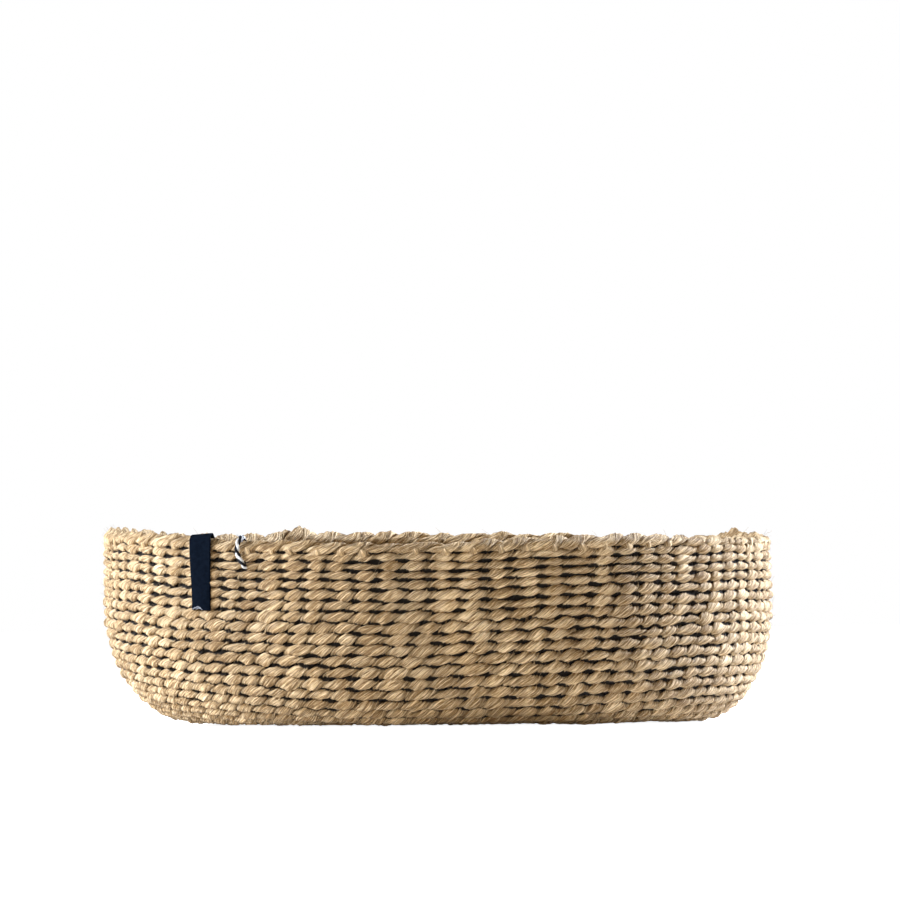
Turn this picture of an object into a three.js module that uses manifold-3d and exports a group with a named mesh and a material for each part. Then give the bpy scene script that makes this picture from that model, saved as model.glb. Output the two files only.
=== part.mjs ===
// Woven sisal bowl: twined courses round upright stakes, a closed rim, a folded label tape and a twine loop.
// The bowl is laid out flat, as its weaver starts it, in three measures: the run along a stake from the
// middle of the base, the angle round the bowl, and how far out a point lies from the middle of the stakes.
// One function forms that flat mat into the bowl, so every piece follows the same curve and keeps its gaps.
import * as THREE from "three";
import { mergeVertices } from "three/addons/utils/BufferGeometryUtils.js";
import Module from "manifold-3d";

const wasm = await Module();
wasm.setup();

// Driving dimensions of the bowl, in millimetres
const BOWL_DIAMETER = 360; // over the widest course
const RIM_HEIGHT = { right: 100, back: 102, left: 105, front: 93.5 }; // top of the rim above the table
const CORNER_WIDTH = { right: 38, back: 40, left: 47, front: 18 }; // from the flat base out to the wall
const CORNER_RISE = { right: 66, back: 50, left: 60, front: 24 }; // from the flat base up to the wall
const RIM_DRAW_IN = { right: 2.5, back: 1.5, left: 0.5, front: 1.5 }; // of the wall, at its top
const CLEARANCE = 0.3; // between pieces that touch

// Places where the rim is pulled up or has sunk: their middle and half-width in degrees, and the lift
const RIM_SWELLS = [
  { middle: -57, spread: 70, lift: 4.5 },
  { middle: 40, spread: 40, lift: -2 },
  { middle: 133, spread: 50, lift: -3.5 },
];

// Stakes: a few start at the knot, and each splits into two at every fork
const STAKE_WIDTH = 2.4;
const STAKE_THICKNESS = 1.4;
const STAKE_PLAY = 0.7; // on each side of a stake, for its bend in the corner
const STAKE_SIDES = 3;
const GROUPS = 10;
const FORKS = [22, 45, 90]; // runs at which every stake becomes two
const FORK_OVERLAP = 6; // of a new stake's root with the stake beside it
const CORNER_BENDS = 6; // of a stake, in the bowl's rounded corner

// Strands, courses and rim
const STRAND_THICKNESS = 2.9; // through the wall
const STRAND_CROWN = 0.5; // height of a strand's outer face, as a share of its seat on the stakes
const LOWER_COURSES = 16;
const TOP_COURSES = 4; // tighter courses under the rim
const TOP_COURSE_PITCH = 4.9;
const RIM_COURSE_HEIGHT = 5.6;
const RIM_CAP = 2.4; // of the rim strands over the stakes' tips
const RIM_CHAMFER = 1.4;
const BASE_EDGE_INSET = 40; // the base weave stops this far inside the bowl's radius
const LOOSE_FROM = 100; // from this run on, courses lie looser on a longer stake
const KNOT_RADIUS = 8;
const KNOT_CHAMFER = 1.6;

// Label tape, its stitch and the twine loop
const LABEL_ANGLE = THREE.MathUtils.degToRad(-134); // 44 degrees to the left of the front
const LABEL_WIDTH = 15;
const LABEL_THICKNESS = 0.8;
const LABEL_DROP_OUTSIDE = 37.5; // below the top of the rim
const LABEL_DROP_INSIDE = 24;
const STITCH_DIAMETER = 1;
const STITCH_LENGTH = 6;
const TWINE_DIAMETER = 2.6;
const TWINE_TOP_ANGLE = THREE.MathUtils.degToRad(-125.4);
const TWINE_BOW_ANGLE = THREE.MathUtils.degToRad(-125.8);
const TWINE_FOOT_ANGLE = THREE.MathUtils.degToRad(-123.8);
const TWINE_DROP_OUTSIDE = 13.5;
const TWINE_DROP_INSIDE = 12;

// Sizes that follow from these
const FACETS = 24; // of every course, with the whole label on one of them
const FACET_ANGLE = (2 * Math.PI) / FACETS;
const SEAT = STAKE_THICKNESS / 2 + STAKE_PLAY; // from the stakes' middle to a strand
const SKIN = SEAT + STRAND_THICKNESS; // from the stakes' middle to the outside of a strand
const STAKE_RADIUS = BOWL_DIAMETER / 2 - SKIN;
const BASE_EDGE = BOWL_DIAMETER / 2 - BASE_EDGE_INSET;
const FIRST_BEND = STAKE_RADIUS - Math.max(...Object.values(CORNER_WIDTH)); // where the widest corner starts

// A value that changes smoothly round the bowl, through the values at its four sides
function around({ right, back, left, front }, angle) {
  const mean = (right + back + left + front) / 4;
  const sideways = ((right - left) / 2) * Math.cos(angle);
  const lengthways = ((back - front) / 2) * Math.sin(angle);
  const oval = ((right + left - back - front) / 4) * Math.cos(2 * angle);
  return mean + sideways + lengthways + oval;
}

// The flat base and rounded corner of a stake in its upright plane: x is the radius and y the height
function stakeFoot(angle) {
  const width = around(CORNER_WIDTH, angle);
  const rise = around(CORNER_RISE, angle);
  const reach = STAKE_RADIUS - width;
  const foot = new THREE.CurvePath();
  foot.add(new THREE.LineCurve(new THREE.Vector2(0, SKIN), new THREE.Vector2(reach, SKIN)));
  foot.add(new THREE.EllipseCurve(reach, SKIN + rise, width, rise, -Math.PI / 2, 0));
  return foot;
}

// Height of the rim above the table at an angle
function rimHeight(angle) {
  const lifts = RIM_SWELLS.map(({ middle, spread, lift }) => {
    const turned = THREE.MathUtils.radToDeg(angle) - middle;
    const away = Math.abs(THREE.MathUtils.euclideanModulo(turned + 180, 360) - 180);
    return (lift / 2) * (1 + Math.cos(Math.PI * Math.min(away / spread, 1)));
  });
  return lifts.reduce((height, lift) => height + lift, around(RIM_HEIGHT, angle));
}

// The run of the rim along its stake: a higher rim and a sharper corner both take a longer stake
function stakeLength(angle) {
  return stakeFoot(angle).getLength() + rimHeight(angle) - SKIN - around(CORNER_RISE, angle);
}

// Runs are those of the stake on the right
const RIM_TOP = stakeLength(0);
const RIM_EDGE = RIM_TOP - RIM_COURSE_HEIGHT;
const TOP_EDGE = RIM_EDGE - TOP_COURSES * TOP_COURSE_PITCH;
const LOWER_PITCH = (TOP_EDGE - BASE_EDGE) / LOWER_COURSES;
const STAKE_TIP = RIM_TOP - RIM_CAP - CLEARANCE;
const SPARE_RUN = 10; // of a stake line past the rim, for what is folded over it

// The whole line of a stake: its foot, then a wall that draws in towards the rim
function stakeLine(angle) {
  const line = stakeFoot(angle);
  const low = SKIN + around(CORNER_RISE, angle);
  const high = rimHeight(angle) + SPARE_RUN;
  const start = new THREE.Vector2(STAKE_RADIUS, low);
  const middle = new THREE.Vector2(STAKE_RADIUS, (low + high) / 2);
  const end = new THREE.Vector2(STAKE_RADIUS - around(RIM_DRAW_IN, angle), high);
  line.add(new THREE.QuadraticBezierCurve(start, middle, end));
  line.updateArcLengths();
  return line;
}

const facetCorners = Array.from({ length: FACETS }, (_, i) => (i + 0.5) * FACET_ANGLE);
const facetLines = facetCorners.map(stakeLine);
const facetSlack = facetCorners.map((angle) => stakeLength(angle) - RIM_TOP);
const FACET_SPREAD = 1 / Math.sqrt(Math.cos(FACET_ANGLE / 2)); // as wide as a round course

// A point of the flat mat on the bowl, at a corner of its facets
function atFacetCorner(run, corner, out) {
  const index = ((corner % FACETS) + FACETS) % FACETS;
  const line = facetLines[index];
  const loose = THREE.MathUtils.clamp((run - LOOSE_FROM) / (TOP_EDGE - LOOSE_FROM), 0, 1);
  const share = (run + facetSlack[index] * loose) / line.getLength();
  const middle = line.getPoint(share);
  const along = line.getTangent(share);
  const radius = (middle.x + out * along.y) * FACET_SPREAD;
  const angle = facetCorners[index];
  return new THREE.Vector3(radius * Math.cos(angle), radius * Math.sin(angle), middle.y - out * along.x);
}

// A point of the flat mat on the bowl, at any angle
function onBowl(run, angle, out) {
  const step = angle / FACET_ANGLE - 0.5;
  const corner = Math.floor(step);
  const past = (step - corner) * FACET_ANGLE;
  const share = Math.sin(past) / (Math.sin(past) + Math.sin(FACET_ANGLE - past));
  return atFacetCorner(run, corner, out).lerp(atFacetCorner(run, corner + 1, out), share);
}

// The same, moved sideways along the wall
function besideOnBowl(run, angle, out, sideways) {
  const side = new THREE.Vector3(-Math.sin(angle), Math.cos(angle), 0);
  return onBowl(run, angle, out).addScaledVector(side, sideways);
}

// Moves each vertex of a geometry to the point that place gives for it
function formed(geometry, place) {
  const position = geometry.attributes.position;
  const vertex = new THREE.Vector3();
  for (let i = 0; i < position.count; i++) {
    vertex.fromBufferAttribute(position, i);
    const point = place(vertex, i);
    position.setXYZ(i, point.x, point.y, point.z);
  }
  geometry.computeVertexNormals();
  return geometry;
}

// A closed ring round the bowl, from its section in [run, out] pairs
function ring(section) {
  const outline = section.map(([run, out]) => new THREE.Vector2(run, out));
  const flat = new THREE.LatheGeometry([...outline, outline[0]], FACETS);
  const rows = outline.length + 1;
  return formed(flat, (vertex, i) => {
    const [run, out] = section[(i % rows) % section.length];
    return atFacetCorner(run, Math.floor(i / rows), out);
  });
}

// The mirror of a section on the other side of the stakes
function inside(section) {
  return section.map(([run, out]) => [run, -out]).reverse();
}

// One strand of a course between two runs: it narrows from its seat on the stakes to its outer face
function strandSection(low, high) {
  const middle = (low + high) / 2;
  const seat = (high - low - CLEARANCE) / 2;
  const crown = seat * STRAND_CROWN;
  return [
    [middle - seat, SEAT],
    [middle - crown, SKIN],
    [middle + crown, SKIN],
    [middle + seat, SEAT],
  ];
}

// The lower edge of every course, then of the rim
const lowerEdges = Array.from({ length: LOWER_COURSES }, (_, i) => BASE_EDGE + i * LOWER_PITCH);
const topEdges = Array.from({ length: TOP_COURSES + 1 }, (_, i) => TOP_EDGE + i * TOP_COURSE_PITCH);
const courseEdges = [...lowerEdges, ...topEdges];

// The outer rim strand: it seats beside the stakes and closes over half of their tips
const rimSection = [
  [RIM_EDGE + CLEARANCE / 2, SEAT],
  [RIM_EDGE + RIM_CHAMFER, SKIN],
  [RIM_TOP - RIM_CHAMFER, SKIN],
  [RIM_TOP, SKIN - RIM_CHAMFER],
  [RIM_TOP, CLEARANCE / 2],
  [STAKE_TIP + CLEARANCE, CLEARANCE / 2],
  [STAKE_TIP + CLEARANCE, SEAT],
];

// The base weave under the stakes, bent up at its edge where the corner has begun
function baseSection() {
  const edge = BASE_EDGE - CLEARANCE / 2;
  const runs = [KNOT_RADIUS + CLEARANCE, FIRST_BEND, (FIRST_BEND + edge) / 2, edge];
  const seat = runs.map((run) => [run, SEAT]);
  const skin = runs.map((run) => [run, SKIN]);
  return [...skin, ...seat.reverse()];
}

// The knot that starts the base, a chamfered button between the two base weaves
function startKnot() {
  const low = CLEARANCE;
  const high = 2 * SKIN - CLEARANCE;
  const profile = [
    [0, low],
    [KNOT_RADIUS - KNOT_CHAMFER, low],
    [KNOT_RADIUS, low + KNOT_CHAMFER],
    [KNOT_RADIUS, high - KNOT_CHAMFER],
    [KNOT_RADIUS - KNOT_CHAMFER, high],
    [0, high],
  ];
  const outline = profile.map(([radius, height]) => new THREE.Vector2(radius, height));
  return new THREE.LatheGeometry(outline, FACETS / 2).rotateX(Math.PI / 2);
}

// The runs at which a stake bends in the bowl's corner, closest together where the corner is tightest
function cornerBends(angle) {
  const start = STAKE_RADIUS - around(CORNER_WIDTH, angle);
  const length = stakeFoot(angle).getLength() - start;
  const looseness = (stakeLength(angle) - RIM_TOP) / (TOP_EDGE - LOOSE_FROM);
  return Array.from({ length: CORNER_BENDS + 1 }, (_, i) => {
    const reached = start + length * (i / CORNER_BENDS) ** 1.5;
    return (reached + looseness * LOOSE_FROM) / (1 + looseness);
  });
}

const STAKES_PER_GROUP = 2 ** FORKS.length;
const STAKE_ANGLE = (2 * Math.PI) / (GROUPS * STAKES_PER_GROUP);

// The middle of the run of neighbours that a stake still lies with, counted in stakes from its group's middle
function bundleMiddle(stake, size) {
  return (Math.floor(stake / size) + 0.5) * size - STAKES_PER_GROUP / 2;
}

// The angle of a stake at a run: it spreads from its neighbours between one fork and the next
function stakeAngle(group, stake, run) {
  const ends = [...FORKS, BASE_EDGE];
  const past = ends.filter((end) => run > end).length;
  const sizeBefore = STAKES_PER_GROUP / 2 ** Math.max(past - 1, 0);
  const sizeAfter = STAKES_PER_GROUP / 2 ** Math.min(past, FORKS.length);
  const spread = past > 0 && past < ends.length;
  const share = spread ? (run - ends[past - 1]) / (ends[past] - ends[past - 1]) : 1;
  const offset = THREE.MathUtils.lerp(bundleMiddle(stake, sizeBefore), bundleMiddle(stake, sizeAfter), share);
  return (group * STAKES_PER_GROUP + offset) * STAKE_ANGLE;
}

// Where a stake starts: the first of a group at the knot, the others a little before their fork
function stakeRoot(stake) {
  if (stake === 0) {
    return KNOT_RADIUS + CLEARANCE;
  }
  const fork = FORKS.findIndex((_, i) => stake % (STAKES_PER_GROUP / 2 ** (i + 1)) === 0);
  return FORKS[fork] - FORK_OVERLAP;
}

// One stake, from its root to its tip: a prism that is bent along the bowl
function stakeBar(group, stake) {
  const root = stakeRoot(stake);
  const bends = [...FORKS, ...cornerBends(stakeAngle(group, stake, STAKE_TIP)), STAKE_TIP];
  const stations = [root, ...bends.filter((run) => run > root)];
  const steps = stations.length - 1;
  const prism = new THREE.CylinderGeometry(1, 1, steps, STAKE_SIDES, steps);
  const halfWidth = STAKE_WIDTH / 2 / Math.sin(Math.PI / STAKE_SIDES);
  const halfThickness = STAKE_THICKNESS / (1 + Math.cos(Math.PI / STAKE_SIDES));
  return formed(prism, (vertex) => {
    const run = stations[Math.round(vertex.y + steps / 2)];
    const angle = stakeAngle(group, stake, run);
    return besideOnBowl(run, angle, vertex.z * halfThickness, vertex.x * halfWidth);
  });
}

// A closed geometry as a solid that can be joined to others
function solidOf(geometry) {
  const bare = new THREE.BufferGeometry();
  bare.setAttribute("position", geometry.attributes.position);
  bare.setIndex(geometry.index);
  const merged = mergeVertices(bare, 1e-4);
  const vertProperties = merged.attributes.position.array;
  const triVerts = new Uint32Array(merged.index.array);
  return new wasm.Manifold(new wasm.Mesh({ numProp: 3, vertProperties, triVerts }));
}

// The stakes that grow from one stake at the knot, joined at their forks
function stakeGroup(group) {
  const stakes = Array.from({ length: STAKES_PER_GROUP }, (_, stake) => solidOf(stakeBar(group, stake)));
  const joined = stakes.reduce((tree, stake) => tree.add(stake)).getMesh();
  const geometry = new THREE.BufferGeometry();
  geometry.setAttribute("position", new THREE.BufferAttribute(joined.vertProperties, joined.numProp));
  geometry.setIndex(new THREE.BufferAttribute(joined.triVerts, 1));
  geometry.computeVertexNormals();
  return geometry;
}

// The path over the rim, at a distance from its strands, in [run, out] pairs from the outside in
const MITRE = Math.tan(Math.PI / 8);
function foldOverRim(away, dropOutside, dropInside) {
  const shoulder = RIM_TOP - RIM_CHAMFER + away * MITRE;
  const brow = SKIN - RIM_CHAMFER + away * MITRE;
  return [
    [RIM_TOP - dropOutside, SKIN + away],
    [shoulder, SKIN + away],
    [RIM_TOP + away, brow],
    [RIM_TOP + away, -brow],
    [shoulder, -SKIN - away],
    [RIM_TOP - dropInside, -SKIN - away],
  ];
}

// A point over the label, with its distance to the side measured along the wall
function onLabel(run, out, sideways) {
  return onBowl(run, LABEL_ANGLE + sideways / STAKE_RADIUS, out);
}

// The label tape: a thin strip folded over the rim
function labelTape() {
  const near = foldOverRim(CLEARANCE, LABEL_DROP_OUTSIDE, LABEL_DROP_INSIDE);
  const far = foldOverRim(CLEARANCE + LABEL_THICKNESS, LABEL_DROP_OUTSIDE, LABEL_DROP_INSIDE);
  const outline = [...near, ...far.reverse()].map(([run, out]) => new THREE.Vector2(run, out));
  const side = new THREE.Shape(outline);
  const strip = new THREE.ExtrudeGeometry(side, { depth: LABEL_WIDTH, bevelEnabled: false });
  return formed(strip, (vertex) => onLabel(vertex.x, vertex.y, vertex.z - LABEL_WIDTH / 2));
}

// A round thread or twine along a list of points
function thread(points, diameter, sides, steps) {
  const section = new THREE.Shape();
  section.absarc(0, 0, diameter / 2, 0, 2 * Math.PI);
  const extrudePath = new THREE.CatmullRomCurve3(points);
  const options = { extrudePath, steps, curveSegments: sides, bevelEnabled: false };
  return new THREE.ExtrudeGeometry(section, options);
}

// The stitch across the lower end of the label tape
const STITCH_INSET = 3; // above the tape's lower end
const STITCH_SLANT = 1.5;
function labelStitch() {
  const out = SKIN + 2 * CLEARANCE + LABEL_THICKNESS + STITCH_DIAMETER / 2;
  const foot = RIM_TOP - LABEL_DROP_OUTSIDE + STITCH_INSET;
  const points = [-1, 0, 1].map((side) => {
    return onLabel(foot + side * STITCH_SLANT, out, (side * STITCH_LENGTH) / 2);
  });
  return thread(points, STITCH_DIAMETER, 6, 4);
}

// The twine loop: from where it enters the wall it bows up the outside, crosses the rim and hangs inside
function twineLoop() {
  const away = CLEARANCE + TWINE_DIAMETER / 2;
  const fold = foldOverRim(away, TWINE_DROP_OUTSIDE, TWINE_DROP_INSIDE);
  const [foot, ...overRim] = fold;
  const bow = [RIM_TOP - TWINE_DROP_OUTSIDE / 2, SKIN + away];
  const points = [
    onBowl(foot[0], TWINE_FOOT_ANGLE, foot[1]),
    onBowl(bow[0], TWINE_BOW_ANGLE, bow[1]),
    ...overRim.map(([run, out]) => onBowl(run, TWINE_TOP_ANGLE, out)),
  ];
  return thread(points, TWINE_DIAMETER, 6, 24);
}

// Finishes
const sisal = new THREE.MeshStandardMaterial({ color: 0xc2a478, roughness: 0.85, metalness: 0 });
const stakeSisal = new THREE.MeshStandardMaterial({ color: 0xa88a5f, roughness: 0.9, metalness: 0 });
const navyTape = new THREE.MeshStandardMaterial({ color: 0x131b26, roughness: 0.8, metalness: 0 });
const greyThread = new THREE.MeshStandardMaterial({ color: 0x8f8f90, roughness: 0.9, metalness: 0 });
const twine = new THREE.MeshStandardMaterial({ color: 0x77756f, roughness: 0.9, metalness: 0 });

// The assembly
const bowl = new THREE.Group();
function addPiece(name, geometry, material) {
  const mesh = new THREE.Mesh(geometry, material);
  mesh.name = name;
  bowl.add(mesh);
}

addPiece("start_knot", startKnot(), sisal);
addPiece("base_weave_under", ring(baseSection()), sisal);
addPiece("base_weave_over", ring(inside(baseSection())), sisal);
for (let group = 0; group < GROUPS; group++) {
  addPiece(`stake_group_${String(group + 1).padStart(2, "0")}`, stakeGroup(group), stakeSisal);
}
for (let course = 0; course < courseEdges.length - 1; course++) {
  const section = strandSection(courseEdges[course], courseEdges[course + 1]);
  const number = String(course + 1).padStart(2, "0");
  addPiece(`course_${number}_outer`, ring(section), sisal);
  addPiece(`course_${number}_inner`, ring(inside(section)), sisal);
}
addPiece("rim_outer", ring(rimSection), sisal);
addPiece("rim_inner", ring(inside(rimSection)), sisal);
addPiece("label_tape", labelTape(), navyTape);
addPiece("label_stitch", labelStitch(), greyThread);
addPiece("twine_loop", twineLoop(), twine);

export default bowl;
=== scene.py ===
# %% [markdown]
# # A bowl of twined sisal
# The weaver starts this bowl flat. Stakes fan out from a knot, and two strands at a time are twined
# round them: one passes in front of a stake while the other passes behind it, and they cross before the
# next one. Row after row the mat grows, is bent up into a wall, and is closed by a rim.
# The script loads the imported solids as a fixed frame, bends a flat layout into the bowl, twines the rows of
# the wall, the rim and the base, and adds the stakes, the knot, the label tape, the twine and loose fibres.

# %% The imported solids
import math

import bpy
import numpy as np
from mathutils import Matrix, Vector


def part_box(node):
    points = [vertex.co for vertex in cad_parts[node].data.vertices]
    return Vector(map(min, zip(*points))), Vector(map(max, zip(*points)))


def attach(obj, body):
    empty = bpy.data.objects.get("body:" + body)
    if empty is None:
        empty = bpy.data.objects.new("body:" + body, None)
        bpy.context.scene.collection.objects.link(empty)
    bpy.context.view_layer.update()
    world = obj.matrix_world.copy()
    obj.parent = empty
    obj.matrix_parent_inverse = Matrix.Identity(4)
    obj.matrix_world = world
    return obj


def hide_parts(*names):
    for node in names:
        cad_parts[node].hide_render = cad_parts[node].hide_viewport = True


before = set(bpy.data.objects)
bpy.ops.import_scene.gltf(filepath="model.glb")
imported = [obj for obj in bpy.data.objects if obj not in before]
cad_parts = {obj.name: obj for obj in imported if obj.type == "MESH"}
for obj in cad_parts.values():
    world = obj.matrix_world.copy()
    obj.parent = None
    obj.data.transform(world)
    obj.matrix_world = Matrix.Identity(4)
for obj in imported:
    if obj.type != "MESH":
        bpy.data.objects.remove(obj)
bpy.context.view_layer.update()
bpy.ops.object.select_all(action="DESELECT")

# %% [markdown]
# ## The camera
# The bowl is seen from a little below its rim and from far away, so its rows look nearly straight, and a
# strip of the far rim shows only where it stands higher. A long lens gives that flat look. The camera aims
# above the bowl, because the bowl stands in the lower half of the picture, and it is rolled a little, as a
# hand-held one is.

# %% Camera
PICTURE_SIZE = 900
PIXELS_PER_METRE = 1858
CAMERA_DISTANCE = 6.0
CAMERA_HEIGHT = 0.070
CAMERA_REACH = 40
AIM = Vector((0.0070, 0, 0.146))
CAMERA_ROLL = math.radians(-0.45)

bpy.ops.object.camera_add(location=(AIM.x, -CAMERA_DISTANCE, CAMERA_HEIGHT))
camera = bpy.context.object
camera.data.lens = PIXELS_PER_METRE * CAMERA_DISTANCE * camera.data.sensor_width / PICTURE_SIZE
camera.data.clip_end = CAMERA_REACH
gaze = AIM - camera.location
camera.rotation_euler = gaze.to_track_quat("-Z", "Y").to_euler()
camera.rotation_euler.rotate_axis("Z", CAMERA_ROLL)
bpy.context.scene.camera = camera
print("lens:", round(camera.data.lens, 1))

# %% [markdown]
# ## The form of the bowl
# A point of the flat mat has three measures: the angle round the bowl, the run along a stake from the
# middle of the base, and how far out it lies from the middle of the stakes. A stake runs flat over the
# base, bends through a quarter of an ellipse and rises up the wall. The corner is sharper at the front than
# at the sides, so its width and rise change round the bowl, which also makes the rim rise and fall.
# The form is kept as a table of radius and height, and reading between its entries bends any point.

# %% Sizes of the form
# Values at the right, back, left and front
CORNER_WIDTH = (0.035, 0.040, 0.047, 0.018)
CORNER_RISE = (0.060, 0.050, 0.060, 0.024)
RIM_DRAW_IN = (0.0025, 0.0015, 0.0005, 0.0015)
RIM_HEIGHT = (0.100, 0.102, 0.105, 0.0935)
# Swells of the rim: middle and half-width in degrees, and lift
RIM_SWELLS = ((-57, 70, 0.0045), (40, 40, -0.0020), (133, 50, -0.0035))
BOWL_RADIUS = 0.180
SKIN = 0.0043
STAKE_RADIUS = BOWL_RADIUS - SKIN
SPARE_RUN = 0.010
TURN = 2 * math.pi
CORNER_POINTS = 120


def round_the_sides(values, angle):
    """A value that changes smoothly through those at the right, back, left and front."""
    right, back, left, front = values
    sideways = (right - left) / 2 * math.cos(angle)
    lengthways = (back - front) / 2 * math.sin(angle)
    oval = (right + left - back - front) / 4 * math.cos(2 * angle)
    return sum(values) / 4 + sideways + lengthways + oval


def rim_height(angle):
    """Height of the rim, with its swells: each has a middle and a half-width in degrees, and a lift."""
    height = round_the_sides(RIM_HEIGHT, angle)
    for middle, spread, lift in RIM_SWELLS:
        away = abs((math.degrees(angle) - middle + 180) % 360 - 180)
        height += lift / 2 * (1 + math.cos(math.pi * min(away / spread, 1)))
    return height


def corner_line(angle):
    """Radius and height along the rounded corner, and the run at which it starts."""
    width = round_the_sides(CORNER_WIDTH, angle)
    rise = round_the_sides(CORNER_RISE, angle)
    turn = np.linspace(0, math.pi / 2, CORNER_POINTS)
    start = STAKE_RADIUS - width
    return start + width * np.sin(turn), SKIN + rise * (1 - np.cos(turn)), start


def lengths_along(across, up):
    """The length from the start of a flat line to each of its points."""
    steps = np.hypot(np.diff(across), np.diff(up))
    return np.concatenate([[0], np.cumsum(steps)])


def stake_length(angle):
    """The run of the rim's top along the stake at an angle."""
    radius, height, start = corner_line(angle)
    return start + lengths_along(radius, height)[-1] + rim_height(angle) - height[-1]


RIM_TOP = stake_length(0)
RIM_ROW_HEIGHT = 0.0056
TOP_ROWS = 4
TOP_PITCH = 0.0049
LOWER_ROWS = 16
BASE_EDGE_INSET = 0.040
BASE_EDGE = BOWL_RADIUS - BASE_EDGE_INSET
RIM_EDGE = RIM_TOP - RIM_ROW_HEIGHT
TOP_EDGE = RIM_EDGE - TOP_ROWS * TOP_PITCH
LOWER_PITCH = (TOP_EDGE - BASE_EDGE) / LOWER_ROWS
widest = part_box("course_13_outer")
print("form: widest", 2 * BOWL_RADIUS, "solid", widest[1].x - widest[0].x, "run to rim", RIM_TOP)

# %% The form as a table
LOOSE_FROM = 0.100
WALL_POINTS = 40
TABLE_ANGLES = 361
TABLE_RUNS = 700
table_runs = np.linspace(0, RIM_TOP + SPARE_RUN, TABLE_RUNS)


def stake_line(angle):
    """Radius and height of a stake at each run of the table, with looser rows on a longer stake."""
    corner_radius, corner_height, start = corner_line(angle)
    corner_length = lengths_along(corner_radius, corner_height)[-1]
    wall = stake_length(angle) + SPARE_RUN - start - corner_length
    share = np.linspace(0, 1, WALL_POINTS)[1:]
    wall_radius = STAKE_RADIUS - round_the_sides(RIM_DRAW_IN, angle) * share**2
    radius = np.concatenate([[0], corner_radius, wall_radius])
    height = np.concatenate([[SKIN], corner_height, corner_height[-1] + wall * share])
    runs = lengths_along(radius, height)
    loose = np.clip((table_runs - LOOSE_FROM) / (TOP_EDGE - LOOSE_FROM), 0, 1)
    reached = table_runs + loose * (stake_length(angle) - RIM_TOP)
    return np.interp(reached, runs, radius), np.interp(reached, runs, height)


lines = [stake_line(angle) for angle in np.linspace(0, TURN, TABLE_ANGLES)]
table_radius = np.array([line[0] for line in lines])
table_height = np.array([line[1] for line in lines])
slope_out = np.gradient(table_radius, table_runs, axis=1)
slope_up = np.gradient(table_height, table_runs, axis=1)
slope = np.hypot(slope_out, slope_up)
table_facing_out = slope_up / slope
table_facing_up = -slope_out / slope


def read_table(table, angle, run):
    """The values of a table at any angles and runs, read between its entries."""
    across = (np.asarray(angle) % TURN) / TURN * (TABLE_ANGLES - 1)
    along = np.clip(run / table_runs[-1], 0, 1) * (TABLE_RUNS - 1)
    i = np.minimum(across.astype(int), TABLE_ANGLES - 2)
    j = np.minimum(along.astype(int), TABLE_RUNS - 2)
    u, v = across - i, along - j
    low = table[i, j] * (1 - v) + table[i, j + 1] * v
    high = table[i + 1, j] * (1 - v) + table[i + 1, j + 1] * v
    return low * (1 - u) + high * u


def on_bowl(angle, run, out):
    """The place in the bowl of points of the flat mat."""
    radius = read_table(table_radius, angle, run) + out * read_table(table_facing_out, angle, run)
    height = read_table(table_height, angle, run) + out * read_table(table_facing_up, angle, run)
    return np.stack([radius * np.cos(angle), radius * np.sin(angle), height], axis=-1)


print("table:", table_radius.shape, "highest point:", round(float(table_height.max()), 4))

# %% [markdown]
# ## A ply
# Every row is a soft rope of two plies that are twined round the stakes. Pressed together, each ply is half
# of the round rope: a D with rounded corners, whose flat side lies against its partner. The D turns as the
# row goes on, so the line between the plies runs up to the right, which is what one sees of a stitch.
# A curve with a bevel can't change its section like this, so the sections are placed in code, and the mesh
# is drawn through them. Attributes go with the mesh for the finish: "fibre" is a place in the ply that
# turns with its fibres, "tint" changes from stitch to stitch, and "section" tells how far out and how far
# towards the next row a point lies, for the painted shadow in the pits, and how much darker it is painted
# besides, which on the plies and the stakes is painted shade.

# %% Tubes through rings of points
# The fibres' twist in radians a metre, and how far their pattern reaches round and along a ply
FIBRE_TWIST = 165
FIBRE_RADIUS = 2.8
FIBRE_STRETCH = 45


def mesh_object(name, points, faces):
    mesh = bpy.data.meshes.new(name)
    mesh.from_pydata(points.tolist(), [], faces)
    mesh.polygons.foreach_set("use_smooth", [True] * len(mesh.polygons))
    mesh.update()
    piece = bpy.data.objects.new(name, mesh)
    bpy.context.scene.collection.objects.link(piece)
    return piece


def tube_faces(stations, sides, closed):
    """The faces of a tube whose points are counted ring by ring, with its two ends if it isn't closed."""
    last = stations if closed else stations - 1
    i, j = np.meshgrid(np.arange(last), np.arange(sides), indexing="ij")
    i, j = i.ravel(), j.ravel()
    i_next, j_next = (i + 1) % stations, (j + 1) % sides
    corners = [i * sides + j, i_next * sides + j, i_next * sides + j_next, i * sides + j_next]
    faces = np.stack(corners, axis=-1).tolist()
    if not closed:
        first = list(range(sides))
        final = [(stations - 1) * sides + j for j in range(sides)]
        faces += [first, final[::-1]]
    return faces


def put_attribute(mesh, name, kind, domain, values):
    attribute = mesh.attributes.new(name, kind, domain)
    field = "vector" if kind == "FLOAT_VECTOR" else "value"
    attribute.data.foreach_set(field, np.asarray(values, dtype=np.float32).ravel())


def plain_section(shape, darkness):
    """The section attribute of a piece that has no pits."""
    return np.broadcast_to((1.0, 0.0, darkness), (*shape, 3))


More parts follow.
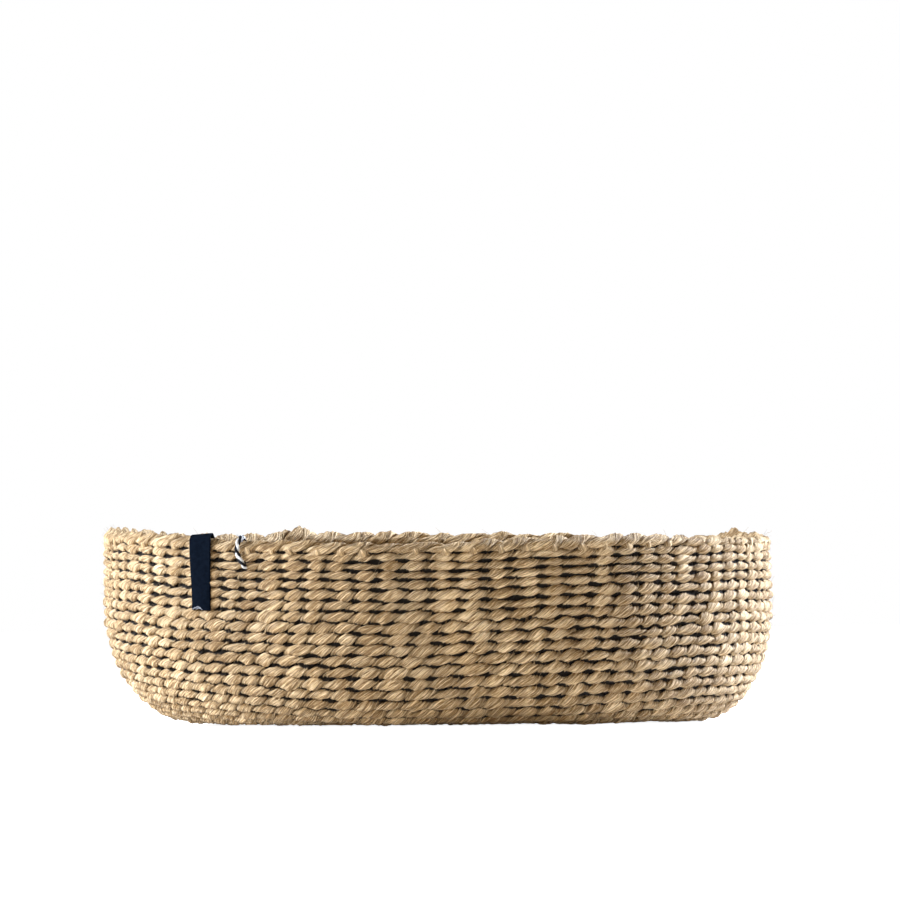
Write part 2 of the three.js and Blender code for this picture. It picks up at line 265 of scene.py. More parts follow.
def tube_piece(name, rings, closed, along, tint, section):
    """A tube of fibre through rings of points, with the attributes that its finish reads."""
    stations, sides = rings.shape[:2]
    piece = mesh_object(name, rings.reshape(-1, 3), tube_faces(stations, sides, closed))
    mesh = piece.data
    corner_vertex = np.empty(len(mesh.loops), dtype=np.int32)
    mesh.loops.foreach_get("vertex_index", corner_vertex)
    station, side = corner_vertex // sides, corner_vertex % sides
    corner_along = along[station]
    twist = FIBRE_TWIST
    if closed:
        total = along[-1] + along[1] - along[0]
        twist = round(FIBRE_TWIST * total / TURN) * TURN / total
        face = np.arange(len(mesh.loops)) // 4
        corner_along = corner_along + total * ((station == 0) & (face >= (stations - 1) * sides))
    turned = side * TURN / sides - corner_along * twist
    place = [np.cos(turned) * FIBRE_RADIUS, np.sin(turned) * FIBRE_RADIUS, corner_along * FIBRE_STRETCH]
    put_attribute(mesh, "fibre", "FLOAT_VECTOR", "CORNER", np.stack(place, axis=-1))
    put_attribute(mesh, "tint", "FLOAT", "POINT", np.repeat(tint, sides))
    put_attribute(mesh, "section", "FLOAT_VECTOR", "POINT", section)
    return piece


print("fibres turn once in", round(TURN / FIBRE_TWIST, 4), "m")

# %% The section of a ply
PLY_GAP = 0.015
ARC_POINTS = 40
BEND_POINTS = 30


def ply_section(sides, rounding):
    """Points round a ply in a rope of radius 1, as (facing out of the rope, sideways), from its crown."""
    inner = PLY_GAP + rounding
    crown = math.acos(inner / (1 - rounding))
    arc = np.linspace(0, crown, ARC_POINTS)
    bend = np.linspace(crown, math.pi, BEND_POINTS)
    outer = np.stack([np.cos(arc), np.sin(arc)], axis=-1)
    corner = np.array([inner, (1 - rounding) * math.sin(crown)])
    rounded = corner + rounding * np.stack([np.cos(bend), np.sin(bend)], axis=-1)
    upper = np.concatenate([outer, rounded])
    outline = np.concatenate([upper, upper[::-1] * (1, -1)])
    lengths = lengths_along(outline[:, 0], outline[:, 1])
    places = np.linspace(0, lengths[-1], sides, endpoint=False)
    return np.interp(places, lengths, outline[:, 0]), np.interp(places, lengths, outline[:, 1])


print("a ply of 6 sides faces out by", ply_section(6, 0.3)[0].round(2).tolist())

# %% [markdown]
# ## Twining
# By hand no two stitches come out alike. A row wanders up and down with its neighbours, its stitches are
# longer here and shorter there, and each stitch has its own plumpness, place and shade, which pass smoothly
# into those of the next one. The random draws are seeded, so the bowl comes out the same each time.

# %% How a hand-made row differs
STAKES = 80
SEAM_ANGLE = math.pi / 2
# Waves round the bowl: their size, their count, how they turn from level to level, and their start
WANDER_WAVES = ((0.00040, 3, 0.30, 0.0), (0.00030, 8, -0.42, 1.0), (0.00020, 17, 0.65, 2.2))
WANDER_LEVELS = 95
LEAN_WAVES = ((0.55, 2, 0.5, 0.0), (0.45, 5, -0.35, 0.8))
LEAN_LEVELS = 40
LEAN_REACH = 0.030
HITCH_COUNTS = (9, 38)
HITCH_WAVES = 6
# Folds along a ply: how many there are round it, and their depth
PLY_FOLDS = ((2, 0.040), (3, 0.050), (5, 0.045))
FOLD_CHANGE = 0.7
FOLD_SWELLS = (180, 420)


def smooth(value):
    """A smooth step from 0 to 1."""
    value = np.clip(value, 0, 1)
    return value * value * (3 - 2 * value)


def sum_of_waves(waves, angle, level):
    return sum(size * np.sin(count * angle + turn * level + start) for size, count, turn, start in waves)


def row_wander(angle, run):
    """How far a row strays up or down: neighbours stray alike, so their gaps stay narrow."""
    return sum_of_waves(WANDER_WAVES, angle, run * WANDER_LEVELS)


def stake_lean(angle, run):
    """How far the stakes of the wall lean sideways, as a part of the wave."""
    return sum_of_waves(LEAN_WAVES, angle, run * LEAN_LEVELS) * smooth((run - BASE_EDGE) / LEAN_REACH)


def vary_by_stitch(random, wave, spread):
    """One random value a stitch, passing smoothly from each stitch to the next."""
    stitch = wave / math.pi
    count = int(round(stitch.max() - stitch.min())) + 2
    values = random.normal(0, spread, count)
    first = np.floor(stitch).astype(int)
    share = smooth(stitch - first)
    index = first - first.min()
    return values[index % count] * (1 - share) + values[(index + 1) % count] * share


def stitch_hitch(random, size):
    """Stitches of a row that are longer or shorter than their neighbours, as a part of the wave."""
    counts = random.integers(*HITCH_COUNTS, HITCH_WAVES)
    starts = random.uniform(0, TURN, HITCH_WAVES)
    return lambda angle: size * sum(np.sin(n * angle + s) for n, s in zip(counts, starts))


def ply_folds(random, along, sides):
    """Folds along a ply that turn with its fibres, deeper here and shallower there."""
    turned = np.arange(sides)[None, :] * TURN / sides - along[:, None] * FIBRE_TWIST
    folds = np.zeros((len(along), sides))
    for count, depth in PLY_FOLDS:
        pace, start = random.uniform(*FOLD_SWELLS), random.uniform(0, TURN)
        swell = 1 + FOLD_CHANGE * np.sin(along[:, None] * pace + start)
        folds += depth * swell * np.cos(count * turned + random.uniform(0, TURN))
    return folds


print("a row strays by up to", sum(wave[0] for wave in WANDER_WAVES), "m")

# %% [markdown]
# ## Two plies of a row
# A row follows its course in stations, which lie closer together where the plies cross, because there the
# sections turn fastest. A ply's section is folded along its fibres, held off the stake, turned with the row
# and pressed square by the rows above and below. Where the plies cross it is pinched, which leaves a pit.

# %% Stations along a row
FINE_STEPS = 40
CROWDING = 0.28
CROWDING_ROUNDS = 12
DEPTH_UNEVEN = 0.5


def ring_course(row):
    """Angle, run, wave and thickness along a row that is a ring."""
    angle = SEAM_ANGLE + np.linspace(0, TURN, STAKES * FINE_STEPS + 1)
    wave = angle * row["stitches"] / 2 - math.pi / 2
    return angle, np.full_like(angle, row["run"]), wave, np.ones_like(angle)


def crowded(wave, count):
    """Places along a row, given by its wave, which lie closer together where the plies cross."""
    first = wave[0]
    for _ in range(CROWDING_ROUNDS):
        first = wave[0] - CROWDING * math.sin(2 * first)
    even = first + np.linspace(0, wave[-1] - wave[0], count, endpoint=False)
    return even + CROWDING * np.sin(2 * even)


def row_stations(random, row, course, count):
    """Angle, run, thickness and wave at the stations of a row, with stitches as uneven as by hand."""
    angle, run, wave, thickness = course
    slip = random.uniform(-1, 1) * row["slip"]
    hitch = stitch_hitch(random, row["hitch"])
    wave = wave + stake_lean(angle, run) + slip + hitch(angle)
    places = crowded(wave, count)
    angle, run, thickness = (np.interp(places, wave, values) for values in (angle, run, thickness))
    return angle, run, thickness, places


def ply_sizes(random, row, angle, run, thickness, wave):
    """Run, half-height and half-depth of a ply at its stations, with the lumps of its row."""
    run = run + row_wander(angle, run) * row["wander"] + vary_by_stitch(random, wave, row["stray"])
    run = run + row["tilt"] * np.sin(2 * wave)
    height = row["height"] * thickness * (1 + vary_by_stitch(random, wave, row["uneven"]))
    for lump, spread, lift in row["lumps"]:
        away = (np.degrees(angle) - lump + 180) % 360 - 180
        grown = lift / 2 * np.exp(-((away / spread) ** 2))
        run, height = run + grown, height + grown
    uneven = vary_by_stitch(random, wave, row["uneven"] * DEPTH_UNEVEN)
    return run, height, row["depth"] * np.sqrt(thickness) * (1 + uneven)


print("steps that a row's course is drawn with:", STAKES * FINE_STEPS)

# %% Two plies of a row
STAKE_HALF_THICKNESS = 0.0007
STAKE_CLASP = 8
HASTE = 0.035
CREST_SLANT = 0.08
FOLD_MIDDLE = 0.45
FOLDS_FROM, FOLDS_OVER = 0.1, 0.5
SHOULDER_FROM, SHOULDER_OVER = 0.14, 0.28
# Painted shade on the ply's flat side, where it meets its partner, and where that shade starts and how far it
# spreads
HIDDEN_PAINTED_SHADE = 0.10
HIDDEN_FROM, HIDDEN_OVER = 0.30, 0.28
PLUMPNESS = 0.06
PINCH_SPREAD = 0.45
TIGHTEST = 1.3
CORE_OVERLAP = 0.60
SECOND_PLY_SEED = 7919


def squared(upwards, outwards, power):
    """How far a round rope swells at its corners, where the rows above and below press it square."""
    size = np.hypot(upwards, outwards)
    return size / (np.abs(upwards) ** power + np.abs(outwards) ** power) ** (1 / power)


def twined_ply(name, row, stations, phase, haste, random, closed):
    """One ply of a row at its stations. Its phase tells it from its partner."""
    angle, run, thickness, places = stations
    wave = places + phase
    run, height, depth = ply_sizes(random, row, angle, run, thickness, wave)
    tint = vary_by_stitch(random, wave, 1.0)
    turn = wave - (row["quick"] + haste(angle)) * np.sin(2 * wave) + CREST_SLANT * np.sin(4 * wave)
    crest, crossing = np.cos(turn)[:, None], np.sin(turn)[:, None]
    steps = np.diff(angle) * read_table(table_radius, angle, run)[1:]
    along = np.concatenate([[0], np.cumsum(steps)])

    # The section, folded, held off the stake and turned
    facing, sideways = ply_section(row["sides"], row["rounding"])
    fold = 1 + ply_folds(random, along, row["sides"]) * smooth((facing - FOLDS_FROM) / FOLDS_OVER)
    apart = STAKE_HALF_THICKNESS / depth[:, None] * crest**STAKE_CLASP
    face = FOLD_MIDDLE + (facing - FOLD_MIDDLE) * fold
    face = apart + face * (1 - apart)
    side = sideways * fold
    upwards = face * crossing + side * crest
    outwards = face * crest - side * crossing

    # Pressed square by its neighbours, and pinched where the plies cross
    full = squared(upwards, outwards, row["square"])
    shoulder = smooth((np.abs(outwards) - SHOULDER_FROM) / SHOULDER_OVER)
    taper = np.sin(wave)[:, None] ** 2
    plump = 1 + PLUMPNESS * (1 - taper)
    tightness = 1 + vary_by_stitch(random, wave, PINCH_SPREAD)[:, None]
    pinch = row["pinch"] * np.clip(tightness, 0, TIGHTEST) + row["lifted"] * (upwards < 0)
    core = 1 + CORE_OVERLAP * (1 - shoulder)
    upwards = upwards * full * plump * core * (1 - pinch * taper * shoulder)
    outwards = outwards * full * (1 - row["dip"] * crossing**2)
    rings = on_bowl(angle[:, None], run[:, None] + upwards * height[:, None], outwards * depth[:, None])

    # What the finish reads: how far out and how far towards the next row a point lies, for the painted shadow
    # in the pits, and the painted shade on the ply's flat side
    painted_seam_shade = HIDDEN_PAINTED_SHADE * smooth((HIDDEN_FROM - facing) / HIDDEN_OVER)
    buried = -upwards if row["bare_top"] else np.abs(upwards)
    section = np.stack(np.broadcast_arrays(np.abs(outwards), buried, painted_seam_shade), axis=-1)
    return tube_piece(name, rings, closed, along, tint, section)


def twined_pair(name, row, seed, path=None):
    """The two plies of a row. row holds its sizes, and path its course if it is no ring."""
    shared = np.random.default_rng(seed)
    if path is None:
        stations = row_stations(shared, row, ring_course(row), row["stitches"] * row["steps"])
    else:
        stations = row_stations(shared, row, path, len(path[0]))
    haste = stitch_hitch(shared, HASTE)
    pair = []
    for letter, phase, ply_seed in (("a", 0.0, seed), ("b", math.pi, seed + SECOND_PLY_SEED)):
        random = np.random.default_rng(ply_seed)
        ply = twined_ply(f"{name}_strand_{letter}", row, stations, phase, haste, random, path is None)
        pair.append(ply)
    return pair


# %% [markdown]
# ## The wall
# Twenty rows stand on the base. The lower ones are full and slip against their neighbours. The four under
# the rim are tighter, because the stakes pull hardest there, so their stitches stand in columns and are
# pointed. Two rows between them have something of both. Each row is a set of named sizes, and a kind of row
# only names what differs from the lower one.

# %% Wall rows
LOWER_OVERLAP = 0.00005
TOP_OVERLAP = 0.00015
BETWEEN_ROWS = 2
WALL_SEED = 100
lower_row = {
    "stitches": STAKES,
    "steps": 11,
    "sides": 16,
    "wander": 1.0,
    "uneven": 0.14,
    "stray": 0.00020,
    "tilt": 0.00015,
    "slip": 1.0,
    "hitch": 0.15,
    "quick": 0.44,
    "height": LOWER_PITCH / 2 + LOWER_OVERLAP,
    "depth": 0.0042,
    "rounding": 0.27,
    "square": 2.45,
    "pinch": 0.32,
    "dip": 0.05,
    "lumps": (),
    "lifted": 0.0,
    "bare_top": False,
}
top_row = dict(
    lower_row,
    height=TOP_PITCH / 2 + TOP_OVERLAP,
    tilt=-0.0001,
    square=2.15,
    pinch=0.37,
    dip=0.18,
    quick=0.50,
    slip=0.10,
)
between_row = dict(lower_row, square=2.3, pinch=0.33, dip=0.11, slip=0.5)


def ride_and_replace(pieces, nodes):
    for piece, node in zip(pieces, nodes):
        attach(piece, "root")
        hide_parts(node)


weave = []
for number in range(1, LOWER_ROWS + TOP_ROWS + 1):
    name = f"course_{number:02d}"
    if number <= LOWER_ROWS:
        sizes = between_row if number > LOWER_ROWS - BETWEEN_ROWS else lower_row
        row = dict(sizes, run=BASE_EDGE + (number - 0.5) * LOWER_PITCH)
    else:
        row = dict(top_row, run=TOP_EDGE + (number - LOWER_ROWS - 0.5) * TOP_PITCH)
    strands = twined_pair(name, row, seed=WALL_SEED + number)
    ride_and_replace(strands, (f"{name}_outer", f"{name}_inner"))
    weave += strands
print("wall strands:", len(weave), "faces each:", len(weave[0].data.polygons), "row pitch:", LOWER_PITCH)

# %% [markdown]
# ## The rim
# The last row closes the bowl over the tips of the stakes. It is twisted less evenly, so its top is lumpy.
# Its thick and thin places are given by an angle, a spread and how far the top rises or sinks there. At the
# back, two knobs show where its ends are tucked in.

# %% Rim strands
RIM_HALF_HEIGHT = 0.0029
RIM_SINK = 0.0010
RIM_STITCHES = 68
RIM_SEED = 300
RIM_LUMPS = (
    (-98, 10, -0.0012),
    (-22, 17, -0.0026),
    (5, 12, -0.0010),
    (22.5, 2.2, 0.0024),
    (38, 8, -0.0012),
    (108, 16, 0.0014),
    (117, 2.2, 0.0020),
)
rim_row = dict(
    lower_row,
    run=RIM_TOP - RIM_HALF_HEIGHT - RIM_SINK,
    height=RIM_HALF_HEIGHT,
    stitches=RIM_STITCHES,
    steps=12,
    rounding=0.36,
    uneven=0.10,
    square=2.2,
    pinch=0.10,
    lifted=0.34,
    quick=0.47,
    tilt=0.0,
    lumps=RIM_LUMPS,
    bare_top=True,
)
rim = twined_pair("rim", rim_row, seed=RIM_SEED)
ride_and_replace(rim, ("rim_outer", "rim_inner"))
weave += rim
print("rim: half height", RIM_HALF_HEIGHT, "lumps:", len(RIM_LUMPS))

# %% [markdown]
# ## The base
# The base is one pair of strands in a spiral round the starting knot. Where the rows get long, every stake
# has a new one pushed in beside it, so a row has 10, then 20, 40 and 80 stitches. A spiral leaves a wedge
# open inside its first turn and outside its last one, so a thinner turn at either end fills it.

# %% Base spiral
KNOT_EDGE = 0.0066
BASE_TURNS = 24
THINNEST = 0.08
FORKS = (0.022, 0.045, 0.090)
FIRST_STAKES = 10
BASE_STEPS = 8
BASE_SEED = 400


def base_path():
    """The angle, run, wave and thickness of the spiral, turn by turn."""
    pitch = (BASE_EDGE - KNOT_EDGE) / BASE_TURNS
    turns = []
    reached = 0.0
    for turn in range(-1, BASE_TURNS + 1):
        inner = KNOT_EDGE + max(turn - 1, 0) * pitch
        stakes = FIRST_STAKES * 2 ** sum(inner > fork for fork in FORKS)
        share = np.linspace(0, 1, stakes * BASE_STEPS, endpoint=False)
        inner_edge = np.maximum(KNOT_EDGE + (turn - 1 + share) * pitch, KNOT_EDGE)
        outer_edge = np.minimum(np.maximum(KNOT_EDGE + (turn + share) * pitch, KNOT_EDGE), BASE_EDGE)
        thickness = np.maximum((outer_edge - inner_edge) / pitch, THINNEST)
        wave = reached + share * stakes * math.pi - math.pi / 2
        turns.append([SEAM_ANGLE + TURN * (turn + share), (inner_edge + outer_edge) / 2, wave, thickness])
        reached += stakes * math.pi
    return np.concatenate(turns, axis=1)


base_row = dict(
    lower_row,
    sides=10,
    height=0.0027,
    depth=0.0038,
    uneven=0.08,
    wander=0.3,
    slip=0.0,
    hitch=0.0,
)
base = twined_pair("base", base_row, seed=BASE_SEED, path=base_path())
ride_and_replace(base, ("base_weave_under", "base_weave_over"))
weave += base
print("base faces:", [len(strand.data.polygons) for strand in base])

# %% [markdown]
# ## The stakes
# Eighty stakes run from the middle of the base to the rim. Ten start at the knot, and at each fork every
# stake gets a new one beside it. They show in the pits between the rows and from inside. Under the rim many
# a stake's end is bent out, and its tuft shows as a small knuckle between two stitches. The eight stakes
# that grow from one are joined into one piece, with their knuckles.

# %% Stakes
STAKE_HALF_WIDTH = 0.0012
STAKE_SIDES = 8
STAKE_STEP = 0.004
STAKE_START = 0.006
STAKE_TIP_DEPTH = 0.0027
STAKE_TIP = RIM_TOP - STAKE_TIP_DEPTH
STAKE_UNEVEN = 0.12
STAKE_SWELLS = (150, 400)
# Painted shade of the stakes, which stand in the shaded pits between the rows
STAKE_PAINTED_DARKNESS = 0.55
STAKES_PER_GROUP = STAKES // FIRST_STAKES
FORK_BUNDLES = (4, 2, 1)
FORK_LENGTH = 0.014
FORK_OVERLAP = 0.006
LEAN_ROUNDS = 4


def stake_root(stake):
    """The run at which a stake of a group starts: the first at the knot, the others before their fork."""
    if stake == 0:
        return STAKE_START
    return next(fork - FORK_OVERLAP for fork, size in zip(FORKS, FORK_BUNDLES) if stake % size == 0)


def stake_angle(group, stake, run):
    """The angle of a stake at its runs: it leaves its neighbours at the forks and leans with the wall."""
    place = np.full_like(run, STAKES_PER_GROUP / 2)
    for fork, size in zip(FORKS, FORK_BUNDLES):
        bundle = (stake // size + 0.5) * size
        place += (bundle - place) * smooth((run - fork + FORK_OVERLAP) / FORK_LENGTH)
    straight = (group * STAKES_PER_GROUP + place - STAKES_PER_GROUP / 2) * TURN / STAKES
    angle = straight
    for _ in range(LEAN_ROUNDS):
        angle = straight - stake_lean(angle, run) * 2 / STAKES
    return angle


def stake_tube(name, group, stake, random):
    root = stake_root(stake)
    run = np.linspace(root, STAKE_TIP, int((STAKE_TIP - root) / STAKE_STEP))
    angle = stake_angle(group, stake, run)
    spin = np.linspace(0, TURN, STAKE_SIDES, endpoint=False)[None, :]
    width = STAKE_HALF_WIDTH * (1 + STAKE_UNEVEN * np.sin(run * random.uniform(*STAKE_SWELLS))[:, None])
    radius = read_table(table_radius, angle, run)
    point_angle = angle[:, None] + np.sin(spin) * width / radius[:, None]
    rings = on_bowl(point_angle, run[:, None], -np.cos(spin) * STAKE_HALF_THICKNESS)
    tint = np.full(len(run), random.normal(0, 1))
    return tube_piece(name, rings, False, run - root, tint, plain_section(rings.shape[:2], STAKE_PAINTED_DARKNESS))


print("stakes start at", [round(stake_root(stake), 3) for stake in range(STAKES_PER_GROUP)])

# %% Knuckles, and stakes joined in groups
KNUCKLE_SHARE = 0.80
KNUCKLE_HALF_WIDTH = (0.0018, 0.0030)
KNUCKLE_HALF_LENGTH = (0.0017, 0.0026)
KNUCKLE_RISE = (-0.0002, 0.0006)
KNUCKLE_LEAN = 0.0004
KNUCKLE_ASIDE = 0.0008
KNUCKLE_OUT = 0.0028
KNUCKLE_DEPTH = 0.0017
KNUCKLE_UNEVEN = 0.12
KNUCKLE_TINT = 0.6
KNUCKLE_SHADE = 0.05
KNUCKLE_SIDES = 10
KNUCKLE_RINGS = 11
KNUCKLE_END = 0.97
STAKE_SEED = 500


def stake_knuckle(name, group, stake, random):
    """The bent end of a stake: a short, blunt tuft that stands out between two stitches."""
    half_width = random.uniform(*KNUCKLE_HALF_WIDTH)
    half_length = random.uniform(*KNUCKLE_HALF_LENGTH)
    middle = RIM_EDGE + random.uniform(*KNUCKLE_RISE)
    share = np.linspace(-KNUCKLE_END, KNUCKLE_END, KNUCKLE_RINGS)
    run = middle + half_length * share
    lean = random.normal(0, KNUCKLE_LEAN) * share
    angle = stake_angle(group, stake, run) + (lean + random.normal(0, KNUCKLE_ASIDE)) / STAKE_RADIUS
    spin = np.linspace(0, TURN, KNUCKLE_SIDES, endpoint=False)[None, :]
    lobes = 1 + KNUCKLE_UNEVEN * np.cos(3 * spin + random.uniform(0, TURN))
    swell = np.sqrt(1 - share**4)[:, None] * lobes
    point_angle = angle[:, None] + np.sin(spin) * swell * half_width / STAKE_RADIUS
    rings = on_bowl(point_angle, run[:, None], KNUCKLE_OUT - np.cos(spin) * swell * KNUCKLE_DEPTH)
    tint = np.full(len(run), random.normal(KNUCKLE_TINT, 1))
    section = plain_section(rings.shape[:2], KNUCKLE_SHADE)
    return tube_piece(name, rings, False, run - run[0], tint, section)


def join_pieces(pieces, name):
    bpy.ops.object.select_all(action="DESELECT")
    for piece in pieces:
        piece.select_set(True)
    bpy.context.view_layer.objects.active = pieces[0]
    bpy.ops.object.join()
    joined = bpy.context.object
    joined.name = name
    joined.select_set(False)
    return joined


stake_random = np.random.default_rng(STAKE_SEED)
stakes = []
for group in range(FIRST_STAKES):
    name = f"stakes_{group + 1:02d}"
    tubes = [stake_tube(f"{name}_{i}", group, i, stake_random) for i in range(STAKES_PER_GROUP)]
    bent_out = [i for i in range(STAKES_PER_GROUP) if stake_random.random() < KNUCKLE_SHARE]
    tubes += [stake_knuckle(f"{name}_knuckle_{i}", group, i, stake_random) for i in bent_out]
    stakes.append(join_pieces(tubes, name))
ride_and_replace(stakes, [f"stake_group_{i + 1:02d}" for i in range(FIRST_STAKES)])
print("stakes:", len(stakes), "pieces, faces each:", len(stakes[0].data.polygons))

# %% [markdown]
# ## The starting knot
# The ten first stakes are tied together in a knot, which fills the hole in the middle of the spiral. A
# trefoil is a real knot that lies flat, and its line is short to write: it goes twice round while it waves
# in and out three times.

# %% Knot
KNOT_RADIUS = 0.0035
KNOT_WAVE = 0.0017
KNOT_RISE = 0.0014
KNOT_HALF_WIDTH = 0.0018
KNOT_ROUNDS = 2
KNOT_WAVES = 3
KNOT_POINTS = 180
KNOT_SIDES = 12
KNOT_SHADE = 0.15


def sweep_flat(path, half_width, sides):
    """Rings of points round a closed line that is nowhere upright."""
    step = np.roll(path, -1, axis=0) - np.roll(path, 1, axis=0)
    along = step / np.linalg.norm(step, axis=1, keepdims=True)
    beside = np.cross(along, (0, 0, 1))
    beside /= np.linalg.norm(beside, axis=1, keepdims=True)
    above = np.cross(beside, along)
    spin = np.linspace(0, TURN, sides, endpoint=False)[None, :, None]
    return path[:, None] + half_width * (np.cos(spin) * beside[:, None] + np.sin(spin) * above[:, None])


lap = np.linspace(0, KNOT_ROUNDS * TURN, KNOT_POINTS, endpoint=False)
knot_wave = KNOT_WAVES / KNOT_ROUNDS * lap
reach = KNOT_RADIUS + KNOT_WAVE * np.cos(knot_wave)
knot_height = SKIN + KNOT_RISE * np.sin(knot_wave)
knot_path = np.stack([reach * np.cos(lap), reach * np.sin(lap), knot_height], axis=-1)
knot_rings = sweep_flat(knot_path, KNOT_HALF_WIDTH, KNOT_SIDES)
knot_section = plain_section(knot_rings.shape[:2], KNOT_SHADE)
knot = tube_piece("starting_knot", knot_rings, True, lap * KNOT_RADIUS, np.zeros(len(lap)), knot_section)
ride_and_replace([knot], ["start_knot"])
weave.append(knot)
print("knot faces:", len(knot.data.polygons))

# %% [markdown]
# ## The label tape
# A plain dark tape is folded over the rim, with a short flap inside. A line of runs and distances out is
# drawn over the rim, spaced evenly, and a grid of points is bent over the wall along it. The outer end is a
# little frayed, so its edge has a notch. A Solidify modifier gives the tape its thickness.

# %% Label tape
LABEL_ANGLE = math.radians(-134)
LABEL_WIDTH = 0.015
LABEL_THICKNESS = 0.0006
LABEL_DROP_OUTSIDE = 0.0375
LABEL_DROP_INSIDE = 0.024
LABEL_OUT = 0.0049
LABEL_RISE = 0.0021
LABEL_SLANT = 0.0008
SLANT_REACH = 0.010
LABEL_SKEW = 0.0068
LABEL_NARROWING = 0.13
LABEL_LEAN = 0.0004
LABEL_CURL = 0.0006
LABEL_ROWS = 130
LABEL_COLUMNS = 25
FOLD_HEIGHT = 0.0034
FOLD_POINTS = 40
NOTCH_MIDDLE = -0.0013
NOTCH_HALF_WIDTH = 0.0036
NOTCH_DEPTH = 0.0018
NOTCH_REACH = 0.004
COCKLE_DEPTH = 0.00022
COCKLE_ACROSS, COCKLE_ACROSS_START = 420, 0.8
COCKLE_ALONG, COCKLE_ALONG_START = 150, 0.4
CLOTH_SCALE = 1000


def label_line():
    """Runs and distances out along the tape, and the lengths from its outer end."""
    bend = np.linspace(0, math.pi, FOLD_POINTS)
    fold = RIM_TOP + LABEL_RISE - FOLD_HEIGHT + FOLD_HEIGHT * np.sin(bend)
    run = [RIM_TOP - LABEL_DROP_OUTSIDE, *fold, RIM_TOP - LABEL_DROP_INSIDE]
    out = [LABEL_OUT, *(LABEL_OUT * np.cos(bend)), -LABEL_OUT]
    lengths = lengths_along(np.array(run), np.array(out))
    places = np.linspace(0, lengths[-1], LABEL_ROWS)
    return np.interp(places, lengths, run), np.interp(places, lengths, out), places


def on_label(sideways, run, out):
    return on_bowl(LABEL_ANGLE + sideways / STAKE_RADIUS, run, out)


def grid_faces(rows, columns):
    corners = [(i, j) for i in range(rows - 1) for j in range(columns - 1)]
    return [
        (i * columns + j, i * columns + j + 1, (i + 1) * columns + j + 1, (i + 1) * columns + j)
        for i, j in corners
    ]


label_run, label_out, label_along = (values[:, None] for values in label_line())
across = np.linspace(-LABEL_WIDTH / 2, LABEL_WIDTH / 2, LABEL_COLUMNS)[None, :]
notch = NOTCH_DEPTH * np.clip(1 - np.abs(across - NOTCH_MIDDLE) / NOTCH_HALF_WIDTH, 0, 1)
frayed = label_run + notch * np.clip(1 - label_along / NOTCH_REACH, 0, 1)
waves_across = np.sin(across * COCKLE_ACROSS + COCKLE_ACROSS_START)
waves_along = np.sin(label_along * COCKLE_ALONG + COCKLE_ALONG_START)
cockle = COCKLE_DEPTH * waves_across * waves_along
hanging = smooth((RIM_TOP - label_run) / LABEL_DROP_OUTSIDE) * (label_out > 0)
inside = (1 - label_out / LABEL_OUT) / 2
sideways = across * (1 - LABEL_NARROWING * hanging) + LABEL_LEAN * hanging - LABEL_SKEW * inside
on_top = smooth((label_run - RIM_TOP + SLANT_REACH) / SLANT_REACH)
slanted = frayed + LABEL_SLANT * across / LABEL_WIDTH * 2 * on_top
curl = LABEL_CURL * hanging * (2 * across / LABEL_WIDTH) ** 4
label_points = on_label(sideways, slanted, label_out + cockle - curl)
label = mesh_object("label", label_points.reshape(-1, 3), grid_faces(LABEL_ROWS, LABEL_COLUMNS))
cloth_place = np.stack(np.broadcast_arrays(across, label_along, 0.0), axis=-1) * CLOTH_SCALE
put_attribute(label.data, "cloth", "FLOAT_VECTOR", "POINT", cloth_place)
thickness = label.modifiers.new("thickness", "SOLIDIFY")
thickness.thickness = LABEL_THICKNESS
thickness.offset = 0
ride_and_replace([label], ["label_tape"])
print("label: flat", LABEL_WIDTH, "by", round(float(label_along[-1, 0]), 4))

# %% [markdown]
# ## Threads and twine
# A few grey threads hold the tape's frayed end. Beside the tape, a short twine of a black and a white ply
# comes out of the wall and goes over the rim, where a few fibres stand off it. All of them are tubes along
# smooth lines. A twine's plies wind round its line, so each ply is a tube along a helix.

# %% Smooth lines and tubes along them
ACROSS_START = (0.3, -0.5, 0.8)


def smooth_line(points, steps):
    """A line through points, with as many steps between each point and the next."""
    points = np.asarray(points, dtype=float)
    padded = np.concatenate([[2 * points[0] - points[1]], points, [2 * points[-1] - points[-2]]])
    share = np.linspace(0, 1, steps, endpoint=False)[:, None]
    pieces = []
    for a, b, c, d in zip(padded, padded[1:], padded[2:], padded[3:]):
        bend = 2 * a - 5 * b + 4 * c - d
        twist = 3 * b - a - 3 * c + d
        pieces.append(b + (share * (c - a) + share**2 * bend + share**3 * twist) / 2)
    return np.concatenate([*pieces, points[-1:]])


def beside_line(line):
    """Two directions across a line at each of its points, which don't turn about it."""
    along = np.gradient(line, axis=0)
    along /= np.linalg.norm(along, axis=1, keepdims=True)
    beside = np.cross(along, ACROSS_START)
    for i in range(len(line)):
        if i > 0:
            beside[i] = beside[i - 1] - along[i] * (beside[i - 1] @ along[i])
        beside[i] /= np.linalg.norm(beside[i])
    return beside, np.cross(along, beside)


def line_lengths(line):
    """The length from the start of a line to each of its points."""
    steps = np.linalg.norm(np.diff(line, axis=0), axis=1)
    return np.concatenate([[0], np.cumsum(steps)])


def tube_along(name, line, radius, sides):
    beside, above = beside_line(line)
    spin = np.linspace(0, TURN, sides, endpoint=False)[None, :, None]
    radius = np.broadcast_to(np.asarray(radius), len(line))[:, None, None]
    rings = line[:, None] + radius * (np.cos(spin) * beside[:, None] + np.sin(spin) * above[:, None])
    shape = rings.shape[:2]
    return tube_piece(name, rings, False, line_lengths(line), np.zeros(shape[0]), plain_section(shape, 0.0))


# %% Label threads
THREAD_RADIUS = 0.00014
THREAD_STEPS = 8
THREAD_SIDES = 8
THREAD_OUT = LABEL_OUT + LABEL_THICKNESS / 2 + THREAD_RADIUS
LABEL_END = RIM_TOP - LABEL_DROP_OUTSIDE
